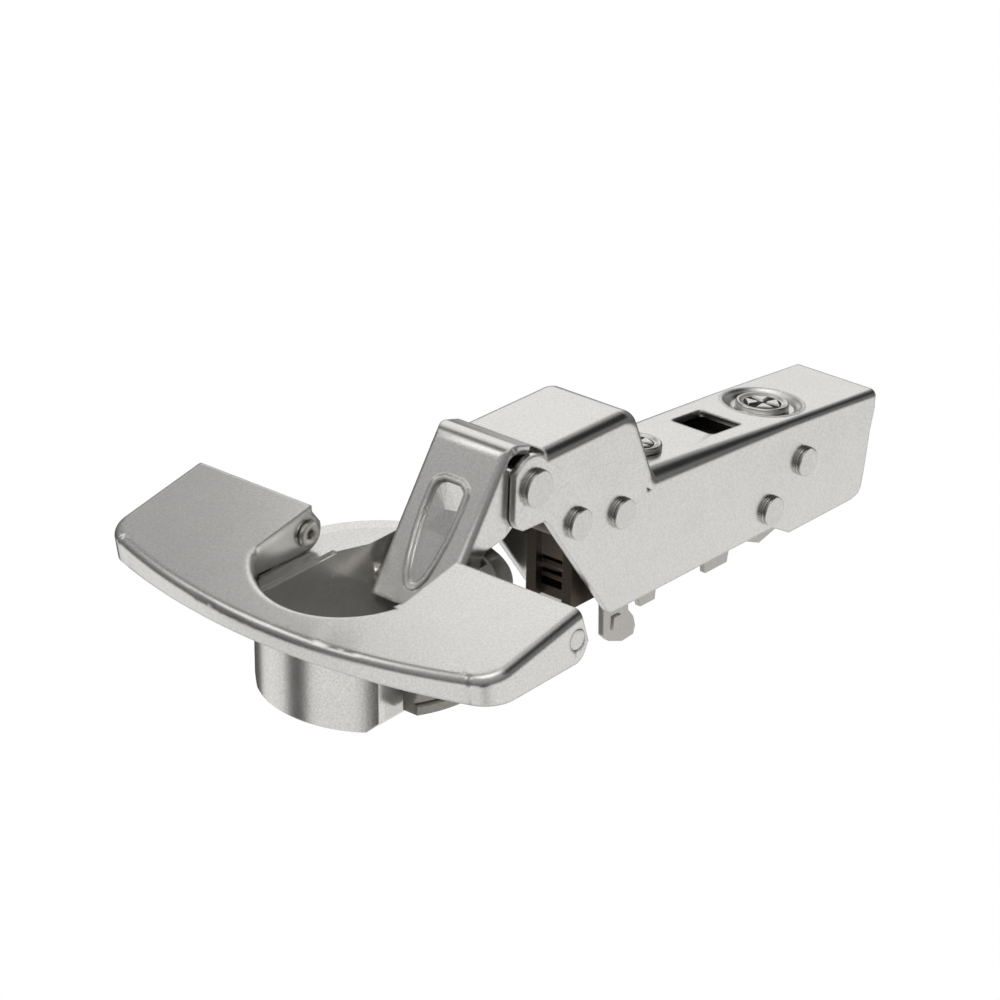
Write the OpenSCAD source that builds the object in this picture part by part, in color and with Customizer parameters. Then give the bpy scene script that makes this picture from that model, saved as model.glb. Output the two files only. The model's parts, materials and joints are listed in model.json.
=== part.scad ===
// Concealed cup hinge with a cranked arm, shown with the door fully open.
// The origin is the centre of the cup on the inner face of the door.
// X runs from the cup along the arm, Y across the hinge and Z out of the cup mouth.
// All lengths are in millimetres and all angles in degrees.

/* [Door cup] */
// Diameter of the hole in the door
cup_d = 35; // [34:0.5:40]
// Depth of the cup below the door face
cup_depth = 13.5; // [12.5:0.1:16]
// Wall and floor of the cast cup
cup_wall = 1.2; // [0.8:0.1:1.6]
// Width of the cup across its two flat sides
cup_flat_w = 23.2; // [22:0.2:24.4]
// Width of the collar that lies on the door, beyond the hole on each side
flange_lip = 1.4; // [1:0.1:2]
// Thickness of the collar
flange_t = 1.0; // [0.8:0.1:1.2]
// Thickness of the cup's walls beside the wide front pocket
pocket_wall = 1.2; // [0.9:0.1:1.8]
// Width of the narrow rear channel that the links work in
channel_w = 16.8; // [15.6:0.2:17.4]
// Width of the notch in the rear wall for the inner link
notch_w = 7.4; // [6.6:0.2:9]

/* [Clamping cover] */
// Length of the cover across the door
cover_l = 71.4; // [68:0.2:76]
// Distance from the cup centre to the front of the cover
cover_front = 24.2; // [23:0.1:27]
// Distance from the cup centre to the straight back edge
cover_back = 1.1; // [0.5:0.1:2]
// Radius of the curved front edge, seen from above
cover_front_r = 103; // [90:1:140]
// Radius of the two front corners
cover_corner_r = 5; // [3:0.1:7]
// Height of the back edge above the door
cover_back_h = 8.0; // [7.4:0.1:9]
// Slope of the cover towards its front edge
cover_slope = 10; // [8:0.5:11]
// Gap between the cover's rim and the door
cover_gap = 0.3; // [0.2:0.1:0.6]
// Thickness of the sheet that the cover is pressed from
cover_t = 1.1; // [0.8:0.1:1.4]
// Outer radius of the folds in the cover
cover_fold_r = 1.3; // [1.2:0.1:2.4]
// Radius of the cut-out round the links
cutout_r = 14.8; // [14:0.1:16]
// Width of the cut-out between the two inner ears
cutout_w = 26.8; // [26:0.2:28]
// Diameter of the axles that the cover tips on
axle_d = 3.0; // [2.4:0.1:3.4]
// Height of the axles above the door
axle_h = 4.0; // [3.8:0.1:4.4]
// Largest angle that the cover tips to
cover_open = 35; // [20:1:40]

/* [Clamp jaws] */
// Depth of the clamp jaws below the door face
jaw_depth = 11.3; // [9:0.1:12]
// Length of each jaw along the arm
jaw_l = 18; // [12:0.5:20]
// Travel of each jaw when the cover tips up
jaw_travel = 0.5; // [0.3:0.05:0.6]

/* [Arm] */
// Width of the arm
arm_w = 16; // [15.4:0.1:17.5]
// Thickness of the arm sheet
arm_t = 1.1; // [0.9:0.1:1.2]
// Outer radius of the long folds of the arm at its head
arm_fold_r = 1.8; // [1.4:0.1:2.4]
// Outer radius of the long folds behind the head
arm_rear_fold_r = 2.5; // [1.8:0.1:2.6]
// Tilt of the arm against the door when fully open
arm_tilt = 1.7; // [0:0.1:3]
// Distance from the link rivet to the rear end of the arm
arm_l = 84; // [80:0.5:96]
// Height of the raised head above the link rivet
head_h = 4.8; // [4.4:0.1:5.6]
// Distance from the link rivet to the rear corner of the raised head
head_l = 23.0; // [21:0.2:24]
// Drop from the link rivet to the foot of the head's rear slope
hump_drop = 6.8; // [6:0.1:8]
// Slope of the arm's top towards its rear end
top_slope = 5.3; // [3:0.1:7]
// Drop from the link rivet to the lower edge of the arm
arm_drop = 26.7; // [25.5:0.1:28]
// Drop from the link rivet to the deeper lower edge at the rear
arm_rear_drop = 29.1; // [28.6:0.1:30.5]

/* [Links] */
// Distance from the cup centre to the link rivet of the arm
rivet_a_x = 24.9; // [24.5:0.1:25.3]
// Height of the link rivet of the arm above the door face
rivet_a_z = 8.7; // [8.3:0.1:9.1]
// Distance from the cup centre to the outer link's cup pin
pin_c_x = 10.4; // [10:0.1:10.8]
// Depth of the outer link's cup pin below the door face
pin_c_depth = 4.6; // [4.2:0.1:5]
// Distance from the cup centre to the inner link's cup pin
pin_d_x = 14.2; // [13.9:0.1:14.3]
// Depth of the inner link's cup pin below the door face
pin_d_depth = 4.0; // [3.7:0.1:4.3]
// Thickness of the outer link's sheet
link_t = 1.2; // [1:0.1:1.4]
// Diameter of the rivets through the arm
rivet_d = 3.0; // [2.6:0.1:3.4]
// Diameter of the outer link's cup pins
pin_c_d = 2.6; // [2.2:0.1:2.8]
// Diameter of the inner link's cup pin
pin_d_d = 2.2; // [1.8:0.1:2.2]

/* [Adjusting gear] */
// Distance from the link rivet to the side adjusting screw
side_screw_x = 33.5; // [32.5:0.1:35]
// Diameter of the side adjusting screw's head
side_screw_d = 7.8; // [7:0.1:8]
// Distance from the link rivet to the depth adjusting cam
depth_cam_x = 65.1; // [64:0.1:66.5]
// Diameter of the depth adjusting cam's head
depth_cam_d = 8.4; // [7.6:0.1:8.8]
// Diameter of the dished recess round the cam
dish_d = 13.4; // [12.6:0.1:13.6]
// Throw of the depth cam's eccentric pin
cam_throw = 2.0; // [1.5:0.1:2.1]
// Largest turn of the depth cam each way
cam_turn = 40; // [20:1:45]
// Largest tilt of the base bracket under the side screw
side_tilt = 1.5; // [0.5:0.1:1.6]

/* [Fits] */
// Radial clearance of a turning pin in its hole
run_fit = 0.05; // [0.02:0.01:0.08]
// Side clearance between sheets that move past each other
side_gap = 0.2; // [0.15:0.01:0.3]
// Clearance between parts that only lie near each other
free_gap = 0.3; // [0.2:0.05:0.4]

/* [Hidden] */
$fn = 72;
eps = 0.02;

// Radii and half widths that several parts share
cup_r = cup_d / 2;
flange_r = cup_r + flange_lip;
pocket_r = cup_r - cup_wall;
cup_half = cup_flat_w / 2;
arm_half = arm_w / 2;
arm_in = arm_half - arm_t;
link_half = arm_in - side_gap;
link_in = link_half - link_t;
notch_half = notch_w / 2;
inner_half = notch_half - side_gap;
boss_half = arm_in - side_gap;
clip_half = arm_in - free_gap;
clip_w = 2 * clip_half;
clip_t = 1.0;
bracket_half = clip_half - clip_t - free_gap;
bracket_t = 1.0;
depth_travel = cam_throw * sin(cam_turn);
cover_half = cover_l / 2;
cut_half = cutout_w / 2;
axle_r = axle_d / 2;
axle_x = 0.2;
rivet_r = rivet_d / 2;
pin_c_r = pin_c_d / 2;
pin_d_r = pin_d_d / 2;

// Pivots of the arm, measured from the link rivet: [along the arm, up]
rivet_b = [9.9, -9.0];
rivet_c = [20.1, -10.9];
rivet_latch_at = [57.4, -23.4];
rivet_bracket_at = [65.7, -17.9];

// Corners of the arm's top line: rear of the head, foot of its slope and rear end
head_corner = [head_l, head_h];
hump_foot = [28.1, -hump_drop];
arm_end = [arm_l + 0.3, -hump_drop - (arm_l + 0.3 - hump_foot[0]) * tan(top_slope)];
function arm_top(x) = -hump_drop - (x - hump_foot[0]) * tan(top_slope);

// Flat point helpers: a point on a circle, and an arc of points
function polar(c, r, a) = [c[0] + r * cos(a), c[1] + r * sin(a)];
function arc(c, r, a0, a1, n = 8) = [for (i = [0 : n]) polar(c, r, a0 + (a1 - a0) * i / n)];
function heading(p, q) = atan2(q[1] - p[1], q[0] - p[0]);

// Puts the children in the arm's own frame, whose origin is the link rivet
module in_arm() {
  translate([rivet_a_x, 0, rivet_a_z]) rotate([0, arm_tilt, 0]) children();
}

// Extrudes a side view, drawn as [along, up], between two values of Y
module side_plate(y0, y1) {
  translate([0, y1, 0]) rotate([90, 0, 0]) linear_extrude(height = y1 - y0) children();
}

// A pin along Y at a point of the side view
module cross_pin(p, r, y0, y1) {
  translate([p[0], y1, p[1]]) rotate([90, 0, 0]) cylinder(r = r, h = y1 - y0);
}

// Puts the children on the arm's rear top surface, with Z square to it
module on_top(x) {
  in_arm() translate([x, 0, arm_top(x)]) rotate([0, top_slope, 0]) children();
}

// A plain cross recess for a screwdriver, cut down from the origin
module cross_recess(l, w, depth) {
  for (a = [0, 90]) rotate([0, 0, a]) translate([-l / 2, -w / 2, -depth]) cube([l, w, depth + 1]);
}

// The parts that stay with the door
pocket_floor = -cup_depth + cup_wall;
pocket_half = cup_half - pocket_wall;
notch_floor = -cup_depth / 2 + 0.3;
channel_half = channel_w / 2;
shoulder_x = 3.0;
shoulder_run = 4.8;
ledge = 0.7;
wing_x0 = -13;
wing_x1 = 2.4;
wing_end = cover_half - cover_t - 1;
block_w = 2.5;
block_in = cut_half + cover_t + free_gap;
block_out = cover_half - cover_t - free_gap - block_w;
block_r = 2.2;
tang_x = -7.5;
tang_l = 3;
tang_t = 1.2;
tang_in = cut_half + cover_t + 0.1;
tang_h = 2.4;
guide_r = 1.5;
guide_z = -6;
jaw_in = cup_half + jaw_travel + free_gap;

// Plan of the pocket: wide in front, stepping in to the channel by slanted shoulders
module pocket_plan() {
  intersection() {
    circle(r = pocket_r);
    polygon([
      [-cup_r, -pocket_half], [shoulder_x, -pocket_half],
      [shoulder_x + shoulder_run, -channel_half], [cup_r, -channel_half],
      [cup_r, channel_half], [shoulder_x + shoulder_run, channel_half],
      [shoulder_x, pocket_half], [-cup_r, pocket_half]
    ]);
  }
}

// One wing of the collar with its two bearing blocks, on the +Y side
module cup_wing() {
  translate([wing_x0, cup_half, 0]) cube([wing_x1 - wing_x0, wing_end - cup_half, flange_t]);
  for (y = [block_in, block_out]) {
    translate([axle_x, y + block_w, axle_h]) rotate([90, 0, 0]) cylinder(r = block_r, h = block_w);
    translate([axle_x - block_r, y, 0]) cube([2 * block_r, block_w, axle_h]);
  }
  translate([axle_x, 0, guide_z]) rotate([-90, 0, 0]) translate([0, 0, cup_half - 1]) cylinder(r = guide_r, h = 4.4);
}

module cup_body() color("#c9c9c7") {
  difference() {
    union() {
      intersection() {
        translate([0, 0, -cup_depth]) cylinder(r = cup_r, h = cup_depth);
        translate([-cup_r, -cup_half, -cup_depth]) cube([cup_d, cup_flat_w, cup_depth]);
      }
      cylinder(r = flange_r, h = flange_t);
      cup_wing();
      mirror([0, 1, 0]) cup_wing();
    }
    translate([0, 0, pocket_floor]) linear_extrude(height = cup_depth + flange_t) pocket_plan();
    // Shallow ledge along the sides of the pocket's mouth
    intersection() {
      translate([0, 0, flange_t - 0.4]) cylinder(r = pocket_r + ledge / 2, h = 2);
      translate([-cup_r, -pocket_half - ledge, 0]) cube([cup_r + shoulder_x, 2 * (pocket_half + ledge), 4]);
    }
    // Relief under the collar beside the flat sides, so that only the outer ring seats
    translate([0, 0, -1]) difference() {
      cylinder(r = cup_r + 0.1, h = 1.15);
      translate([-cup_d, -cup_half, -1]) cube([2 * cup_d, cup_flat_w, 4]);
    }
    // Chamfers along the lower edges of the two flat sides
    for (s = [-1, 1]) translate([0, s * cup_half, -cup_depth]) rotate([45, 0, 0])
      cube([cup_d + 2, 2, 2], center = true);
    // Notch in the rear wall and collar for the inner link
    translate([pin_d_x - 1, -notch_half, notch_floor]) cube([cup_r, notch_w, cup_depth + flange_t]);
    translate([pin_d_x - 1, -notch_half, notch_floor - 1.6]) cube([cup_r - 0.65 - pin_d_x + 1, notch_w, cup_depth]);
    // Holes for the two cup pins and the two cover axles
    cross_pin([pin_c_x, -pin_c_depth], pin_c_r, -cup_half - 1, cup_half + 1);
    cross_pin([pin_d_x, -pin_d_depth], pin_d_r, -cup_half - 1, cup_half + 1);
    cross_pin([axle_x, axle_h], axle_r, -cover_half, -block_in + eps);
    cross_pin([axle_x, axle_h], axle_r, block_in - eps, cover_half);
    // Slots that let the jaw tangs up through the collar
    for (s = [0, 1]) mirror([0, s, 0])
      translate([tang_x - tang_l / 2 - free_gap, tang_in - jaw_travel - free_gap, -1])
        cube([tang_l + 2 * free_gap, tang_t + jaw_travel + 2 * free_gap, flange_t + 2]);
  }
}

// The clamping cover, drawn with its top level and then sloped
cover_x = cover_front_r - cover_front;
corner_y = cover_half - cover_corner_r;
corner_x = cover_x - sqrt(pow(cover_front_r - cover_corner_r, 2) - pow(corner_y, 2));
corner_a = asin(corner_y / (cover_front_r - cover_corner_r));
rim_h = 12;
lip_r = 0.9;
ear_x0 = -11.8;

// Section of the rim: a folded edge whose outer face is at x = 0 and whose top is at y = 0
module rim_section() {
  intersection() {
    translate([-cover_fold_r, -cover_fold_r]) difference() {
      circle(r = cover_fold_r);
      circle(r = cover_fold_r - cover_t);
    }
    translate([-cover_fold_r, -cover_fold_r]) square(cover_fold_r + 1);
  }
  translate([-cover_t, -rim_h]) square([cover_t, rim_h - cover_fold_r + eps]);
}

// Straight rim from x0 to x1 with its outer face at y
module rim_straight(x0, x1, y) {
  translate([x0, y, 0]) rotate([90, 0, 90]) linear_extrude(height = x1 - x0) rim_section();
}

// Plan of the cover inside its folds
module cover_plan(inset) {
  intersection() {
    translate([cover_x, 0]) circle(r = cover_front_r - inset, $fn = 180);
    union() {
      translate([corner_x, -(cover_half - inset)]) square([cover_back - corner_x + 10, cover_l - 2 * inset]);
      translate([-cover_front, -corner_y]) square([corner_x + cover_front + 1, 2 * corner_y]);
      for (s = [-1, 1]) translate([corner_x, s * corner_y]) circle(r = cover_corner_r - inset);
    }
  }
}

module cutout_plan() {
  intersection() {
    union() {
      translate([-4, 0]) circle(r = cutout_r);
      translate([-4, -cut_half]) square([20, cutout_w]);
    }
    translate([-40, -cut_half]) square([80, cutout_w]);
  }
}

// The level form of the cover: top sheet, rim all round and two inner ears
module cover_level() {
  difference() {
    union() {
      translate([0, 0, -cover_t]) linear_extrude(height = cover_t) difference() {
        cover_plan(cover_fold_r - eps);
        cutout_plan();
      }
      translate([cover_x, 0, 0]) rotate([0, 0, 180 - corner_a]) rotate_extrude(angle = 2 * corner_a, $fn = 180)
        translate([cover_front_r, 0]) rim_section();
      for (s = [0, 1]) mirror([0, s, 0]) {
        translate([corner_x, corner_y, 0]) rotate([0, 0, 90]) rotate_extrude(angle = 90 - corner_a)
          translate([cover_corner_r, 0]) rim_section();
        rim_straight(corner_x, cover_back + 3, cover_half);
        // Inner ear, folded down along the cut-out
        intersection() {
          mirror([0, 1, 0]) rim_straight(ear_x0, cover_back + 3, -cut_half);
          translate([-20, 0, -rim_h]) cube([40, cover_half, rim_h]);
        }
      }
    }
    // Rounds the sheet down along the front of the cut-out
    intersection() {
      translate([-4, 0, 0]) rotate_extrude() difference() {
        translate([cutout_r - 0.1, -lip_r]) square([lip_r + 0.1, lip_r + 1]);
        translate([cutout_r + lip_r, -lip_r - 0.1]) circle(r = lip_r + 0.06);
      }
      translate([-30, -20, -5]) cube([18.5, 40, 10]);
    }
    // Takes the ear ends of the cut-out's corner away in front of the ears
    translate([0, 0, -rim_h - 1]) linear_extrude(height = rim_h + 2) intersection() {
      translate([-4, 0]) circle(r = cutout_r);
      translate([-40, -cut_half]) square([80, cutout_w]);
    }
  }
}

// Side view that trims the sloped cover: level rim above the door and rounded outer ears
module cover_side() {
  translate([-cover_front - 5, cover_gap]) square([cover_front + 5 + axle_x, 12]);
  polygon(concat(
    [[axle_x - 1, 12], [axle_x - 1, cover_gap]],
    arc([axle_x - 0.4, cover_gap + 2.4], 2.4, -90, -20, 6),
    [[axle_x + 2.4, 2.9], [cover_back + 0.2, cover_back_h - 1], [cover_back - 0.2, 12]]
  ));
}

// Side view of an inner ear, which clears the collar as the cover tips
module inner_ear_side() {
  polygon(concat(
    arc([axle_x, axle_h], 2.85, -90, 20, 8),
    [[cover_back + 0.2, cover_back_h - 1], [cover_back - 0.2, 12], [-11.6, 12], [-11.8, 5.2], [-12.1, 3.8]],
    arc([-11, 3], 1.4, 190, 260, 4)
  ));
}

module cover() color("#d2d2d0") {
  difference() {
    intersection() {
      translate([cover_back, 0, cover_back_h]) rotate([0, -cover_slope, 0])
        translate([-cover_back, 0, 0]) cover_level();
      union() {
        side_plate(cut_half + 3, cover_half + 1) cover_side();
        side_plate(-cover_half - 1, -cut_half - 3) cover_side();
        side_plate(-cut_half - 3, cut_half + 3) inner_ear_side();
        translate([-cover_front - 5, -cut_half - 3, cover_gap]) cube([cover_front - 11.8 + 5, cutout_w + 6, 12]);
        translate([-15, -cut_half - 3, 5]) cube([14, cutout_w + 6, 8]);
      }
    }
    cross_pin([axle_x, axle_h], axle_r + run_fit, -cover_half - 1, cover_half + 1);
  }
}

// One axle of the cover on the +Y side, with a hollow end at the inner ear
module cover_axle() {
  difference() {
    union() {
      cross_pin([axle_x, axle_h], axle_r, cut_half - 0.6, cover_half);
      cross_pin([axle_x, axle_h], axle_r + 0.5, cut_half - 0.7, cut_half - 0.15);
    }
    cross_pin([axle_x, axle_h], axle_r - 0.8, cut_half - 1, cut_half + 2);
  }
}

module cover_axle_left() color("#8e8c88") cover_axle();

module cover_axle_right() color("#8e8c88") mirror([0, 1, 0]) cover_axle();

// One clamp jaw on the +Y side: a grooved segment of the cup's circle with a tang
module clamp_jaw() {
  difference() {
    union() {
      intersection() {
        translate([0, 0, -jaw_depth]) cylinder(r = cup_r, h = jaw_depth - free_gap);
        translate([-jaw_l / 2, jaw_in, -jaw_depth]) cube([jaw_l, cup_r, jaw_depth]);
      }
      intersection() {
        union() {
          translate([tang_x - tang_l / 2, tang_in, -2.5]) cube([tang_l, tang_t, tang_h + 2.5]);
          translate([tang_x - tang_l / 2, jaw_in, -2.5]) cube([tang_l, tang_in + tang_t - jaw_in, 2.5 - free_gap]);
        }
        // Below the face of the door nothing stands out of the cup's circle
        union() {
          translate([0, 0, -jaw_depth]) cylinder(r = cup_r, h = jaw_depth + eps);
          translate([tang_x - tang_l, 0, 0]) cube([2 * tang_l, cover_half, tang_h + 1]);
        }
      }
    }
    // Bore for the guide pin of the cup
    translate([axle_x, 0, guide_z]) rotate([-90, 0, 0]) cylinder(r = guide_r + run_fit, h = cup_half + 4.4 + jaw_travel);
    // Grip grooves round the outside
    for (z = [-9.6 : 2.2 : -2]) translate([0, 0, z]) rotate_extrude()
      polygon([[cup_r - 0.6, 0], [cup_r + 1, -0.9], [cup_r + 1, 0.9]]);
  }
}

module clamp_jaw_left() color("#a8a6a2") clamp_jaw();

module clamp_jaw_right() color("#a8a6a2") mirror([0, 1, 0]) clamp_jaw();

// The two links and their cup pins
// Line of the outer link's front face, and the curl at its upper end
web_low = [5.3, -5.0];
web_high = [19.3, 14.6];
web_a = heading(web_low, web_high);
curl_r = 3.0;
curl_c = polar(web_high, curl_r, web_a - 90);
curl_end_a = 73;
link_top_l = 2.8;
eye_a_r = 4.0;
eye_c_r = 2.2;
pin_c = [pin_c_x, -pin_c_depth];
pin_d = [pin_d_x, -pin_d_depth];
rivet_a = [rivet_a_x, rivet_a_z];
curl_end = polar(curl_c, curl_r, curl_end_a);
link_tip = polar(curl_end, link_top_l, curl_end_a - 90);

// Outer outline of the outer link seen from the side
module outer_link_side() {
  polygon(concat(
    [web_low],
    arc(curl_c, curl_r, web_a + 90, curl_end_a, 10),
    [link_tip, polar(link_tip, link_t, curl_end_a + 180)],
    arc(rivet_a, eye_a_r, 80, -105, 14),
    [[19.6, 2.3], [15.4, 1.7]],
    arc(pin_c, eye_c_r, 30, -110, 10)
  ));
}

// Space inside the outer link, behind its web and under its curl
module outer_link_inside() {
  inner = curl_r - link_t;
  low = polar(web_low, link_t, web_a - 90);
  polygon(concat(
    [polar(low, 8, web_a + 180)],
    arc(curl_c, inner, web_a + 90, curl_end_a, 10),
    [polar(polar(curl_c, inner, curl_end_a), 20, curl_end_a - 90), [40, -20]]
  ));
}

// Shield-shaped boss pressed forward in the web: half outline as [along the web, across]
web_round = 1.4;
shield_h = 0.3;
shield_depth = 0.35;
shield = [[2.5, 0.5], [3.2, 1.4], [4.6, 2.15], [6.9, 2.7], [10.7, 3.3], [14.4, 3.55], [17.6, 3.5], [18.8, 2.95], [19.5, 1.6]];
shield_floor = [[3.5, 0.2], [4, 0.9], [5.1, 1.5], [7.1, 2.05], [10.8, 2.65], [14.4, 2.9], [17.3, 2.85], [18.2, 2.4], [18.8, 1.3]];

function both_sides(half) = concat(half, [for (i = [len(half) - 1 : -1 : 0]) [half[i][0], -half[i][1]]]);

// Puts a flat shape on the web's front face and extrudes it between two depths
module on_web(z0, z1) {
  translate([web_low[0], 0, web_low[1]]) rotate([0, -web_a, 0]) translate([0, 0, z0])
    linear_extrude(height = z1 - z0) children();
}

module outer_link() color("#bdbdbb") difference() {
  union() {
    on_web(-link_t / 2, shield_h) polygon(both_sides(shield));
    outer_link_sheet();
  }
  on_web(-shield_depth, shield_h + 1) polygon(both_sides(shield_floor));
}

// The bent sheet of the outer link with its four holes
module outer_link_sheet() {
  difference() {
    side_plate(-link_half, link_half) outer_link_side();
    side_plate(-link_in, link_in) outer_link_inside();
    // Rounds the two long folds of the web
    for (s = [0, 1]) mirror([0, s, 0]) translate([web_low[0], link_half, web_low[1]]) rotate([0, -web_a, 0])
      translate([-10, -web_round, -web_round]) difference() {
        cube([60, web_round + 1, web_round + 1]);
        translate([-1, 0, 0]) rotate([0, 90, 0]) cylinder(r = web_round + 0.05, h = 62);
      }
    // Opens the two ends of the curl
    side_plate(-link_half - 1, link_half + 1) polygon(concat(
      arc(curl_c, curl_r - link_t - 0.1, curl_end_a, 250, 12),
      [[24.3, 12], [28, 12.2], [28, 12.7]]
    ));
    cross_pin(rivet_a, rivet_r + run_fit, -link_half - 1, link_half + 1);
    cross_pin(pin_c, pin_c_r + run_fit, -link_half - 1, link_half + 1);
  }
}

// Inner link: a curved bar over the rim of the cup, wide at the arm end
bar_r = 10.25;
bar_half = 1.3;
bar_c = [24.5, -4.6];
eye_b_r = 3.0;
eye_d_r = 2.3;
slot_r = pin_d_r + 0.35;
slot_a = [pin_d_x + 0.12, -pin_d_depth - 0.08];
slot_b = [pin_d_x + 0.86, -pin_d_depth - 1.0];
rivet_b_door = [
  rivet_a_x + rivet_b[0] * cos(arm_tilt) + rivet_b[1] * sin(arm_tilt),
  rivet_a_z - rivet_b[0] * sin(arm_tilt) + rivet_b[1] * cos(arm_tilt)
];

// Outline of a long round-ended shape between two points
function capsule(p, q, r, n = 12) = concat(
  arc(p, r, heading(p, q) + 90, heading(p, q) + 270, n),
  arc(q, r, heading(p, q) - 90, heading(p, q) + 90, n)
);

module inner_link() color("#8f8b84") {
  difference() {
    union() {
      intersection() {
        difference() {
          cross_pin(bar_c, bar_r + bar_half, -inner_half, inner_half);
          cross_pin(bar_c, bar_r - bar_half, -inner_half - 1, inner_half + 1);
        }
        side_plate(-inner_half - 1, inner_half + 1)
          polygon([bar_c, polar(bar_c, 30, 22), polar(bar_c, 30, 60), polar(bar_c, 30, 120), polar(bar_c, 30, 175)]);
      }
      side_plate(-inner_half, inner_half) polygon(capsule(slot_a, slot_b, eye_d_r));
      cross_pin(rivet_b_door, eye_b_r, -boss_half, boss_half);
    }
    cross_pin(rivet_b_door, rivet_r + run_fit, -arm_half, arm_half);
    // Long hole for the cup pin
    side_plate(-arm_half, arm_half) polygon(capsule(slot_a, slot_b, slot_r));
    // The eye is dressed back to the cup's circle, so that it clears the boring of the door
    translate([0, 0, -cup_depth]) difference() {
      cylinder(r = cup_r + 3, h = cup_depth - 2);
      cylinder(r = cup_r - 0.05, h = cup_depth);
    }
  }
}

// Two short pins that carry the outer link in the side walls of the cup
module outer_link_pin() cross_pin(pin_c, pin_c_r, link_in, cup_half);

module outer_link_pin_left() color("#a5a29c") outer_link_pin();

module outer_link_pin_right() color("#a5a29c") mirror([0, 1, 0]) outer_link_pin();

// The pin of the inner link, dressed flush with the round wall of the cup
module inner_link_pin() color("#a5a29c") intersection() {
  cross_pin(pin_d, pin_d_r, -cup_half, cup_half);
  translate([0, 0, -cup_depth]) cylinder(r = cup_r - 0.1, h = cup_depth);
}

// The arm, in its own frame
head_front = -4.5;
sheet_front = 2.7;
ear_c = [-0.8, 1.05];
ear_r = 4.15;
convex_r = 4.2;
concave_r = 0.8;
hump_a = heading(head_corner, hump_foot);
convex_l = convex_r * tan(-hump_a / 2);
concave_l = concave_r * tan((-hump_a - top_slope) / 2);
convex_c = [head_corner[0] - convex_l, head_corner[1] - convex_r];
concave_c = polar(polar(hump_foot, concave_l, -top_slope), concave_r, 90 - top_slope);
skin = 3;

// Side view of the arm's walls, up to just under the rounded folds
module arm_walls() {
  polygon(concat(
    arc(ear_c, ear_r, 150, 27, 14),
    [[sheet_front + 0.4, head_h - 2.3]],
    [[head_l - 2, head_h - 2.6], [hump_foot[0] - 1.8, -hump_drop - 2.7], arm_end - [0.1, 2.7]],
    [[83.2, -18.5], [82.2, -25], [81.6, -27.8], [81.0, -28.6], [79, -arm_rear_drop]],
    [[62.7, -arm_rear_drop], [58.2, -arm_drop], [18.8, -arm_drop], [17.9, -26.3]],
    [[5.9, -10.4], [3.3, -6.9], [2.2, -6.1], [-2.6, -5.9], [-3.7, -5.3], [head_front, -3.8]]
  ));
}

// Stations along the arm's top line: [along, up, angle of the outward normal, fold radius]
bend_steps = 8;
rear_folds = [[38, 0.86], [50, 0.66], [62, 0.47], [74, 0.43]];
fold_steps = 8;
top_stations = concat(
  [[sheet_front, head_h, 90, arm_fold_r]],
  [for (i = [0 : bend_steps]) let (a = 90 + hump_a * i / bend_steps)
    concat(polar(convex_c, convex_r, a), a, arm_fold_r)],
  [for (i = [0 : bend_steps]) let (a = 90 + hump_a - (hump_a + top_slope) * i / bend_steps)
    concat(polar(concave_c, -concave_r, a), a, arm_fold_r + (arm_rear_fold_r - arm_fold_r) * i / bend_steps)],
  [for (k = rear_folds) [k[0], arm_top(k[0]), 90 - top_slope, k[1] * arm_rear_fold_r]],
  [concat(arm_end, 90 - top_slope, 0.45 * arm_rear_fold_r)]
);

// Half of the section across the top as [across, depth], from the side face to the flat
function fold_half(s, r) = concat(
  [[s * arm_half, skin]],
  [for (i = [0 : fold_steps]) let (a = 90 * i / fold_steps)
    [s * (arm_half - r + r * cos(a)), r * (1 - sin(a))]]
);
function fold_section(r) = let (right = fold_half(1, r))
  concat(fold_half(-1, r), [for (k = [len(right) - 1 : -1 : 0]) right[k]]);

// The arm's top with its two long rounded folds, swept along the stations
module arm_top_skin() {
  m = 2 * (fold_steps + 2);
  last = len(top_stations) - 1;
  polyhedron(
    points = [for (t = top_stations, q = fold_section(t[3]))
      [t[0] - q[1] * cos(t[2]), q[0], t[1] - q[1] * sin(t[2])]],
    faces = concat(
      [for (k = [0 : last - 1], e = [0 : m - 1]) let (f = (e + 1) % m)
        [k * m + e, k * m + f, (k + 1) * m + f, (k + 1) * m + e]],
      [[for (e = [m - 1 : -1 : 0]) e]],
      [[for (e = [0 : m - 1]) last * m + e]]
    )
  );
}

// Space inside the arm, below its sheet and open in front, below and behind
module arm_inside() {
  polygon(concat(
    [[-20, 20], [sheet_front, 20], [sheet_front, head_h - arm_t]],
    arc(convex_c, convex_r - arm_t, 90, 90 + hump_a, 8),
    arc(concave_c, concave_r + arm_t, 270 + hump_a, 270 - top_slope, 6),
    [arm_end + [5, -arm_t - 5 * tan(top_slope)], [arm_l + 10, -60], [-20, -60]]
  ));
}

// Dished seat of the depth cam, pressed into the arm's top
dish_depth = 1.0;
cam_r = depth_cam_d / 2;
cam_shank_r = 3.2;

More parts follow.
